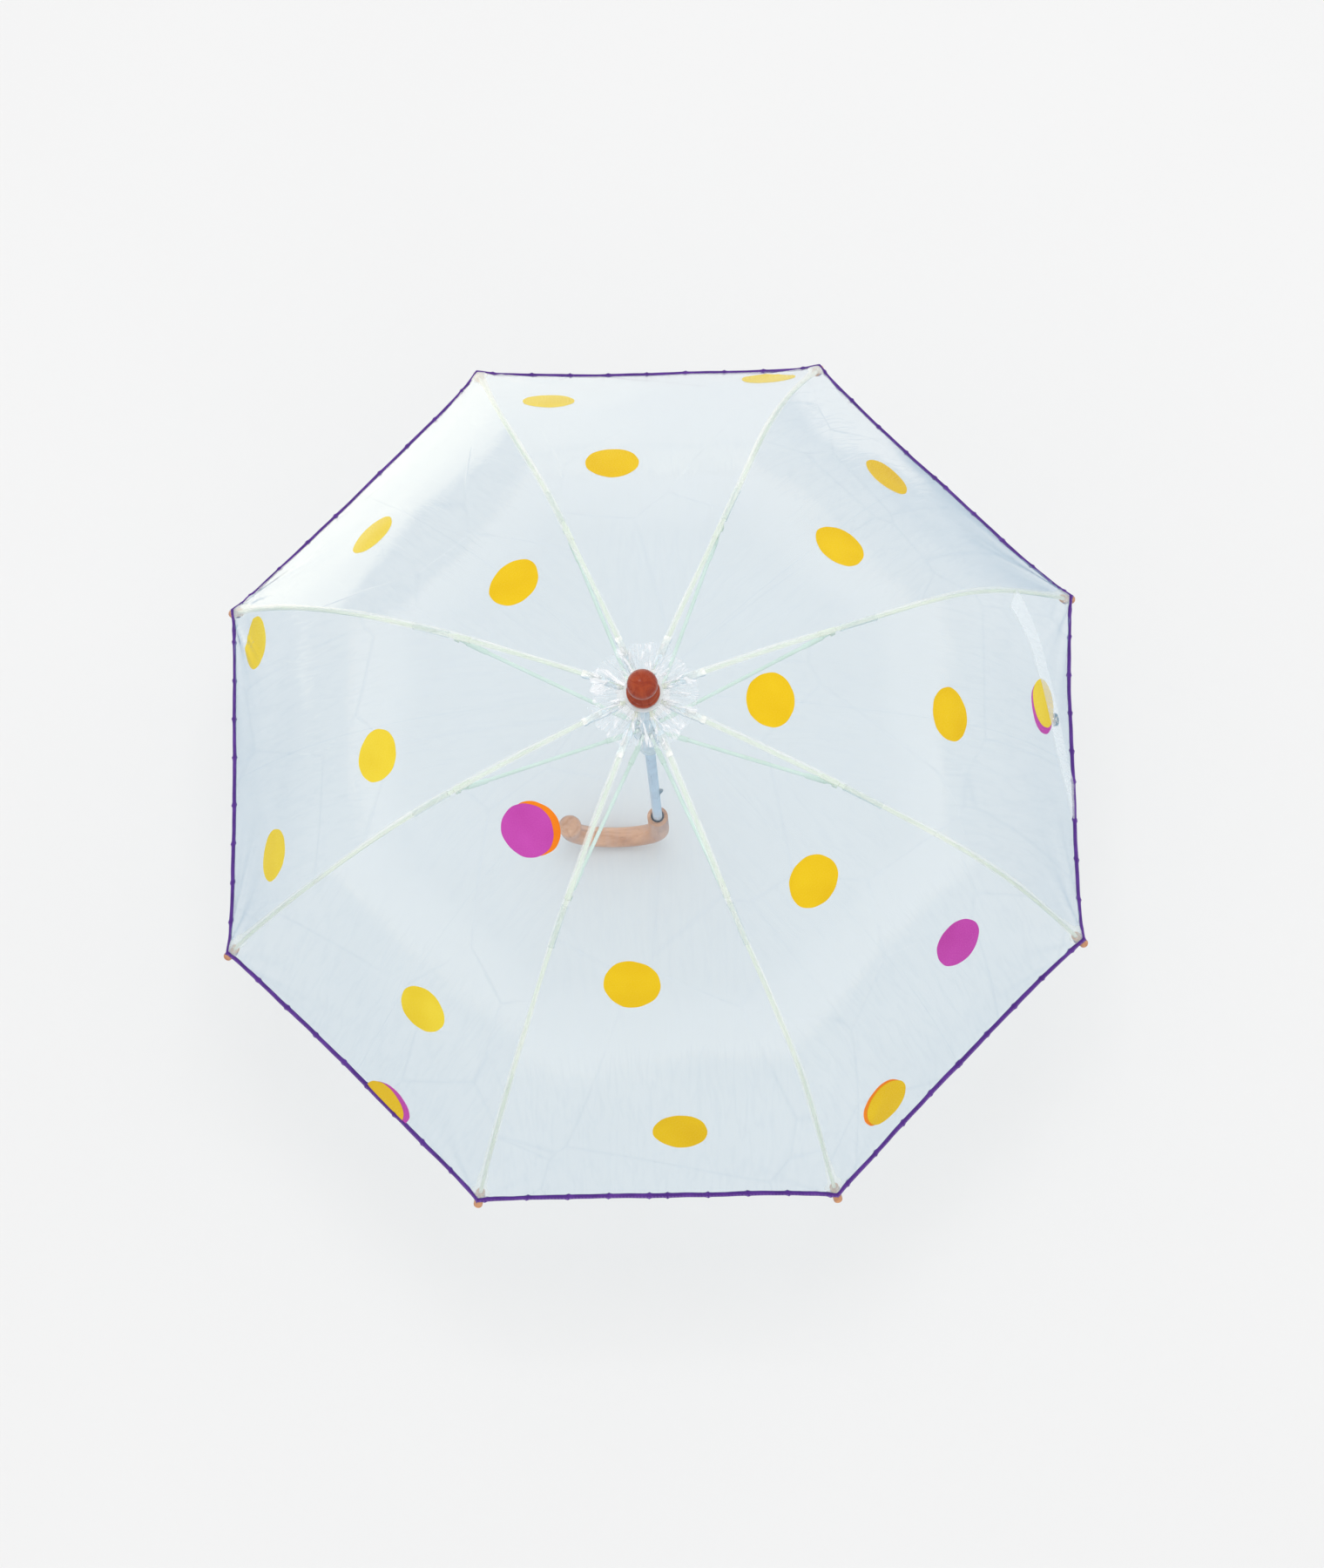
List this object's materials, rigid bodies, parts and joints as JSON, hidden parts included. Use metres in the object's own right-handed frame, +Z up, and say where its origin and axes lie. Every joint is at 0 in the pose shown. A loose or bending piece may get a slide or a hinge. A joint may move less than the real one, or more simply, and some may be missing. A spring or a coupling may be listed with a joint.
{
  "type": "clear dome umbrella",
  "caption": "Child's clear dome umbrella with folding ribs and stretchers, a sliding runner, a turned wooden knob, wooden rib tips and a wooden crook handle.",
  "frame": {"origin": "on the shaft axis, at the middle of the straight part of the handle, where the hand holds it", "axes": "+Z up the shaft towards the knob, -X towards the hook of the handle"},
  "size_m": [0.675, 0.675, 0.5781],
  "materials": {
    "coated_steel": "satin",
    "light_wood": "varnished",
    "red_wood": "glossy varnish",
    "tip_wood": "varnished",
    "translucent_plastic": "milky, translucent",
    "white_plastic": "glossy",
    "steel_wire": "bright",
    "nickel": "polished",
    "clear_film": "clear, glossy, soft",
    "rib_fibreglass": "satin",
    "stretcher_fibreglass": "satin",
    "edge_binding": "woven tape",
    "print_yellow": "printed",
    "print_magenta": "printed"
  },
  "bodies": {
    "frame": {"shaft": "coated_steel", "handle": "light_wood", "ferrule": "red_wood", "crown_washer": "translucent_plastic", "notch": "white_plastic", "notch_wire": "steel_wire"},
    "runner": {"runner": "translucent_plastic", "runner_wire": "steel_wire"},
    "top_catch": {"top_catch": "steel_wire"},
    "bottom_catch": {"bottom_catch": "steel_wire"},
    "rib_upper_1": {"rib_upper_1": "rib_fibreglass"},
    "rib_lower_1": {"rib_lower_1": "rib_fibreglass", "rib_tip_1": "tip_wood"},
    "stretcher_1": {"stretcher_1": "stretcher_fibreglass"},
    "film_left_1": {"film_left_1": "clear_film"},
    "film_right_1": {"film_right_1": "clear_film", "tie_strap": "clear_film", "snap_stud": "nickel"},
    "rib_upper_2": {"rib_upper_2": "rib_fibreglass"},
    "rib_lower_2": {"rib_lower_2": "rib_fibreglass", "rib_tip_2": "tip_wood"},
    "stretcher_2": {"stretcher_2": "stretcher_fibreglass"},
    "film_left_2": {"film_left_2": "clear_film"},
    "film_right_2": {"film_right_2": "clear_film"},
    "rib_upper_3": {"rib_upper_3": "rib_fibreglass"},
    "rib_lower_3": {"rib_lower_3": "rib_fibreglass", "rib_tip_3": "tip_wood"},
    "stretcher_3": {"stretcher_3": "stretcher_fibreglass"},
    "film_left_3": {"film_left_3": "clear_film"},
    "film_right_3": {"film_right_3": "clear_film"},
    "rib_upper_4": {"rib_upper_4": "rib_fibreglass"},
    "rib_lower_4": {"rib_lower_4": "rib_fibreglass", "rib_tip_4": "tip_wood"},
    "stretcher_4": {"stretcher_4": "stretcher_fibreglass"},
    "film_left_4": {"film_left_4": "clear_film"},
    "film_right_4": {"film_right_4": "clear_film"},
    "rib_upper_5": {"rib_upper_5": "rib_fibreglass"},
    "rib_lower_5": {"rib_lower_5": "rib_fibreglass", "rib_tip_5": "tip_wood"},
    "stretcher_5": {"stretcher_5": "stretcher_fibreglass"},
    "film_left_5": {"film_left_5": "clear_film"},
    "film_right_5": {"film_right_5": "clear_film"},
    "rib_upper_6": {"rib_upper_6": "rib_fibreglass"},
    "rib_lower_6": {"rib_lower_6": "rib_fibreglass", "rib_tip_6": "tip_wood"},
    "stretcher_6": {"stretcher_6": "stretcher_fibreglass"},
    "film_left_6": {"film_left_6": "clear_film"},
    "film_right_6": {"film_right_6": "clear_film"},
    "rib_upper_7": {"rib_upper_7": "rib_fibreglass"},
    "rib_lower_7": {"rib_lower_7": "rib_fibreglass", "rib_tip_7": "tip_wood"},
    "stretcher_7": {"stretcher_7": "stretcher_fibreglass"},
    "film_left_7": {"film_left_7": "clear_film"},
    "film_right_7": {"film_right_7": "clear_film"},
    "rib_upper_8": {"rib_upper_8": "rib_fibreglass"},
    "rib_lower_8": {"rib_lower_8": "rib_fibreglass", "rib_tip_8": "tip_wood"},
    "stretcher_8": {"stretcher_8": "stretcher_fibreglass"},
    "film_left_8": {"film_left_8": "clear_film"},
    "film_right_8": {"film_right_8": "clear_film"}
  },
  "joints": [
    {"name": "canopy_fold", "type": "hinge", "parent": "frame", "child": "rib_upper_1", "pos_m": [0.00739, 0.00306, 0.464], "axis": [-0.3827, 0.9239, 0], "range_deg": [0, 65.23], "deforming": ["film_left_1", "film_right_1", "film_left_2", "film_right_2", "film_left_3", "film_right_3", "film_left_4", "film_right_4", "film_left_5", "film_right_5", "film_left_6", "film_right_6", "film_left_7", "film_right_7", "film_left_8", "film_right_8", "tie_strap", "snap_stud"]},
    {"name": "rib_fold_2", "type": "hinge", "parent": "frame", "child": "rib_upper_2", "pos_m": [0.00306, 0.00739, 0.464], "axis": [-0.9239, 0.3827, 0], "range_deg": [0, 65.23]},
    {"name": "rib_fold_3", "type": "hinge", "parent": "frame", "child": "rib_upper_3", "pos_m": [-0.00306, 0.00739, 0.464], "axis": [-0.9239, -0.3827, 0], "range_deg": [0, 65.23]},
    {"name": "rib_fold_4", "type": "hinge", "parent": "frame", "child": "rib_upper_4", "pos_m": [-0.00739, 0.00306, 0.464], "axis": [-0.3827, -0.9239, 0], "range_deg": [0, 65.23]},
    {"name": "rib_fold_5", "type": "hinge", "parent": "frame", "child": "rib_upper_5", "pos_m": [-0.00739, -0.00306, 0.464], "axis": [0.3827, -0.9239, 0], "range_deg": [0, 65.23]},
    {"name": "rib_fold_6", "type": "hinge", "parent": "frame", "child": "rib_upper_6", "pos_m": [-0.00306, -0.00739, 0.464], "axis": [0.9239, -0.3827, 0], "range_deg": [0, 65.23]},
    {"name": "rib_fold_7", "type": "hinge", "parent": "frame", "child": "rib_upper_7", "pos_m": [0.00306, -0.00739, 0.464], "axis": [0.9239, 0.3827, 0], "range_deg": [0, 65.23]},
    {"name": "rib_fold_8", "type": "hinge", "parent": "frame", "child": "rib_upper_8", "pos_m": [0.00739, -0.00306, 0.464], "axis": [0.3827, 0.9239, 0], "range_deg": [0, 65.23]},
    {"name": "rib_flex_1", "type": "hinge", "parent": "rib_upper_1", "child": "rib_lower_1", "pos_m": [0.13818, 0.05724, 0.41567], "axis": [-0.3827, 0.9239, 0], "range_deg": [-20.69, 0]},
    {"name": "stretcher_fold_1", "type": "hinge", "parent": "rib_upper_1", "child": "stretcher_1", "pos_m": [0.13635, 0.05648, 0.41163], "axis": [-0.3827, 0.9239, 0], "range_deg": [-130.47, 0]},
    {"name": "film_fold_left_1", "type": "hinge", "parent": "rib_lower_1", "child": "film_left_1", "pos_m": [0.33072, 0.13699, 0.19125], "axis": [0.6569, 0.3698, -0.6571], "range_deg": [0, 65.95]},
    {"name": "film_fold_right_1", "type": "hinge", "parent": "rib_lower_1", "child": "film_right_1", "pos_m": [0.33072, 0.13699, 0.19125], "axis": [-0.726, -0.203, 0.6571], "range_deg": [0, 65.95]},
    {"name": "rib_flex_2", "type": "hinge", "parent": "rib_upper_2", "child": "rib_lower_2", "pos_m": [0.05724, 0.13818, 0.41567], "axis": [-0.9239, 0.3827, 0], "range_deg": [-20.69, 0]},
    {"name": "stretcher_fold_2", "type": "hinge", "parent": "rib_upper_2", "child": "stretcher_2", "pos_m": [0.05648, 0.13635, 0.41163], "axis": [-0.9239, 0.3827, 0], "range_deg": [-130.47, 0]},
    {"name": "film_fold_left_2", "type": "hinge", "parent": "rib_lower_2", "child": "film_left_2", "pos_m": [0.13699, 0.33072, 0.19125], "axis": [0.203, 0.726, -0.6571], "range_deg": [0, 65.95]},
    {"name": "film_fold_right_2", "type": "hinge", "parent": "rib_lower_2", "child": "film_right_2", "pos_m": [0.13699, 0.33072, 0.19125], "axis": [-0.3698, -0.6569, 0.6571], "range_deg": [0, 65.95]},
    {"name": "rib_flex_3", "type": "hinge", "parent": "rib_upper_3", "child": "rib_lower_3", "pos_m": [-0.05724, 0.13818, 0.41567], "axis": [-0.9239, -0.3827, 0], "range_deg": [-20.69, 0]},
    {"name": "stretcher_fold_3", "type": "hinge", "parent": "rib_upper_3", "child": "stretcher_3", "pos_m": [-0.05648, 0.13635, 0.41163], "axis": [-0.9239, -0.3827, 0], "range_deg": [-130.47, 0]},
    {"name": "film_fold_left_3", "type": "hinge", "parent": "rib_lower_3", "child": "film_left_3", "pos_m": [-0.13699, 0.33072, 0.19125], "axis": [-0.3698, 0.6569, -0.6571], "range_deg": [0, 65.95]},
    {"name": "film_fold_right_3", "type": "hinge", "parent": "rib_lower_3", "child": "film_right_3", "pos_m": [-0.13699, 0.33072, 0.19125], "axis": [0.203, -0.726, 0.6571], "range_deg": [0, 65.95]},
    {"name": "rib_flex_4", "type": "hinge", "parent": "rib_upper_4", "child": "rib_lower_4", "pos_m": [-0.13818, 0.05724, 0.41567], "axis": [-0.3827, -0.9239, 0], "range_deg": [-20.69, 0]},
    {"name": "stretcher_fold_4", "type": "hinge", "parent": "rib_upper_4", "child": "stretcher_4", "pos_m": [-0.13635, 0.05648, 0.41163], "axis": [-0.3827, -0.9239, 0], "range_deg": [-130.47, 0]},
    {"name": "film_fold_left_4", "type": "hinge", "parent": "rib_lower_4", "child": "film_left_4", "pos_m": [-0.33072, 0.13699, 0.19125], "axis": [-0.726, 0.203, -0.6571], "range_deg": [0, 65.95]},
    {"name": "film_fold_right_4", "type": "hinge", "parent": "rib_lower_4", "child": "film_right_4", "pos_m": [-0.33072, 0.13699, 0.19125], "axis": [0.6569, -0.3698, 0.6571], "range_deg": [0, 65.95]},
    {"name": "rib_flex_5", "type": "hinge", "parent": "rib_upper_5", "child": "rib_lower_5", "pos_m": [-0.13818, -0.05724, 0.41567], "axis": [0.3827, -0.9239, 0], "range_deg": [-20.69, 0]},
    {"name": "stretcher_fold_5", "type": "hinge", "parent": "rib_upper_5", "child": "stretcher_5", "pos_m": [-0.13635, -0.05648, 0.41163], "axis": [0.3827, -0.9239, 0], "range_deg": [-130.47, 0]},
    {"name": "film_fold_left_5", "type": "hinge", "parent": "rib_lower_5", "child": "film_left_5", "pos_m": [-0.33072, -0.13699, 0.19125], "axis": [-0.6569, -0.3698, -0.6571], "range_deg": [0, 65.95]},
    {"name": "film_fold_right_5", "type": "hinge", "parent": "rib_lower_5", "child": "film_right_5", "pos_m": [-0.33072, -0.13699, 0.19125], "axis": [0.726, 0.203, 0.6571], "range_deg": [0, 65.95]},
    {"name": "rib_flex_6", "type": "hinge", "parent": "rib_upper_6", "child": "rib_lower_6", "pos_m": [-0.05724, -0.13818, 0.41567], "axis": [0.9239, -0.3827, 0], "range_deg": [-20.69, 0]},
    {"name": "stretcher_fold_6", "type": "hinge", "parent": "rib_upper_6", "child": "stretcher_6", "pos_m": [-0.05648, -0.13635, 0.41163], "axis": [0.9239, -0.3827, 0], "range_deg": [-130.47, 0]},
    {"name": "film_fold_left_6", "type": "hinge", "parent": "rib_lower_6", "child": "film_left_6", "pos_m": [-0.13699, -0.33072, 0.19125], "axis": [-0.203, -0.726, -0.6571], "range_deg": [0, 65.95]},
    {"name": "film_fold_right_6", "type": "hinge", "parent": "rib_lower_6", "child": "film_right_6", "pos_m": [-0.13699, -0.33072, 0.19125], "axis": [0.3698, 0.6569, 0.6571], "range_deg": [0, 65.95]},
    {"name": "rib_flex_7", "type": "hinge", "parent": "rib_upper_7", "child": "rib_lower_7", "pos_m": [0.05724, -0.13818, 0.41567], "axis": [0.9239, 0.3827, 0], "range_deg": [-20.69, 0]},
    {"name": "stretcher_fold_7", "type": "hinge", "parent": "rib_upper_7", "child": "stretcher_7", "pos_m": [0.05648, -0.13635, 0.41163], "axis": [0.9239, 0.3827, 0], "range_deg": [-130.47, 0]},
    {"name": "film_fold_left_7", "type": "hinge", "parent": "rib_lower_7", "child": "film_left_7", "pos_m": [0.13699, -0.33072, 0.19125], "axis": [0.3698, -0.6569, -0.6571], "range_deg": [0, 65.95]},
    {"name": "film_fold_right_7", "type": "hinge", "parent": "rib_lower_7", "child": "film_right_7", "pos_m": [0.13699, -0.33072, 0.19125], "axis": [-0.203, 0.726, 0.6571], "range_deg": [0, 65.95]},
    {"name": "rib_flex_8", "type": "hinge", "parent": "rib_upper_8", "child": "rib_lower_8", "pos_m": [0.13818, -0.05724, 0.41567], "axis": [0.3827, 0.9239, 0], "range_deg": [-20.69, 0]},
    {"name": "stretcher_fold_8", "type": "hinge", "parent": "rib_upper_8", "child": "stretcher_8", "pos_m": [0.13635, -0.05648, 0.41163], "axis": [0.3827, 0.9239, 0], "range_deg": [-130.47, 0]},
    {"name": "film_fold_left_8", "type": "hinge", "parent": "rib_lower_8", "child": "film_left_8", "pos_m": [0.33072, -0.13699, 0.19125], "axis": [0.726, -0.203, -0.6571], "range_deg": [0, 65.95]},
    {"name": "film_fold_right_8", "type": "hinge", "parent": "rib_lower_8", "child": "film_right_8", "pos_m": [0.33072, -0.13699, 0.19125], "axis": [-0.6569, 0.3698, 0.6571], "range_deg": [0, 65.95]},
    {"name": "runner_level", "type": "hinge", "parent": "stretcher_1", "child": "runner", "pos_m": [0.00739, 0.00306, 0.35926], "axis": [-0.3827, 0.9239, 0], "range_deg": [0, 65.23]},
    {"name": "top_catch_press", "type": "slide", "parent": "frame", "child": "top_catch", "axis": [-1, 0, 0], "range_m": [0, 0.003], "stiffness_N_per_m": 300},
    {"name": "bottom_catch_press", "type": "slide", "parent": "frame", "child": "bottom_catch", "axis": [-1, 0, 0], "range_m": [0, 0.003], "stiffness_N_per_m": 300}
  ],
  "couplings": [
    {"joint": "rib_fold_2", "follows": "canopy_fold", "ratio": 1},
    {"joint": "rib_fold_3", "follows": "canopy_fold", "ratio": 1},
    {"joint": "rib_fold_4", "follows": "canopy_fold", "ratio": 1},
    {"joint": "rib_fold_5", "follows": "canopy_fold", "ratio": 1},
    {"joint": "rib_fold_6", "follows": "canopy_fold", "ratio": 1},
    {"joint": "rib_fold_7", "follows": "canopy_fold", "ratio": 1},
    {"joint": "rib_fold_8", "follows": "canopy_fold", "ratio": 1},
    {"joint": "rib_flex_1", "follows": "canopy_fold", "ratio": -0.3171},
    {"joint": "stretcher_fold_1", "follows": "canopy_fold", "ratio": -2},
    {"joint": "film_fold_left_1", "follows": "canopy_fold", "ratio": 1.011},
    {"joint": "film_fold_right_1", "follows": "canopy_fold", "ratio": 1.011},
    {"joint": "rib_flex_2", "follows": "canopy_fold", "ratio": -0.3171},
    {"joint": "stretcher_fold_2", "follows": "canopy_fold", "ratio": -2},
    {"joint": "film_fold_left_2", "follows": "canopy_fold", "ratio": 1.011},
    {"joint": "film_fold_right_2", "follows": "canopy_fold", "ratio": 1.011},
    {"joint": "rib_flex_3", "follows": "canopy_fold", "ratio": -0.3171},
    {"joint": "stretcher_fold_3", "follows": "canopy_fold", "ratio": -2},
    {"joint": "film_fold_left_3", "follows": "canopy_fold", "ratio": 1.011},
    {"joint": "film_fold_right_3", "follows": "canopy_fold", "ratio": 1.011},
    {"joint": "rib_flex_4", "follows": "canopy_fold", "ratio": -0.3171},
    {"joint": "stretcher_fold_4", "follows": "canopy_fold", "ratio": -2},
    {"joint": "film_fold_left_4", "follows": "canopy_fold", "ratio": 1.011},
    {"joint": "film_fold_right_4", "follows": "canopy_fold", "ratio": 1.011},
    {"joint": "rib_flex_5", "follows": "canopy_fold", "ratio": -0.3171},
    {"joint": "stretcher_fold_5", "follows": "canopy_fold", "ratio": -2},
    {"joint": "film_fold_left_5", "follows": "canopy_fold", "ratio": 1.011},
    {"joint": "film_fold_right_5", "follows": "canopy_fold", "ratio": 1.011},
    {"joint": "rib_flex_6", "follows": "canopy_fold", "ratio": -0.3171},
    {"joint": "stretcher_fold_6", "follows": "canopy_fold", "ratio": -2},
    {"joint": "film_fold_left_6", "follows": "canopy_fold", "ratio": 1.011},
    {"joint": "film_fold_right_6", "follows": "canopy_fold", "ratio": 1.011},
    {"joint": "rib_flex_7", "follows": "canopy_fold", "ratio": -0.3171},
    {"joint": "stretcher_fold_7", "follows": "canopy_fold", "ratio": -2},
    {"joint": "film_fold_left_7", "follows": "canopy_fold", "ratio": 1.011},
    {"joint": "film_fold_right_7", "follows": "canopy_fold", "ratio": 1.011},
    {"joint": "rib_flex_8", "follows": "canopy_fold", "ratio": -0.3171},
    {"joint": "stretcher_fold_8", "follows": "canopy_fold", "ratio": -2},
    {"joint": "film_fold_left_8", "follows": "canopy_fold", "ratio": 1.011},
    {"joint": "film_fold_right_8", "follows": "canopy_fold", "ratio": 1.011},
    {"joint": "runner_level", "follows": "canopy_fold", "ratio": 1}
  ]
}
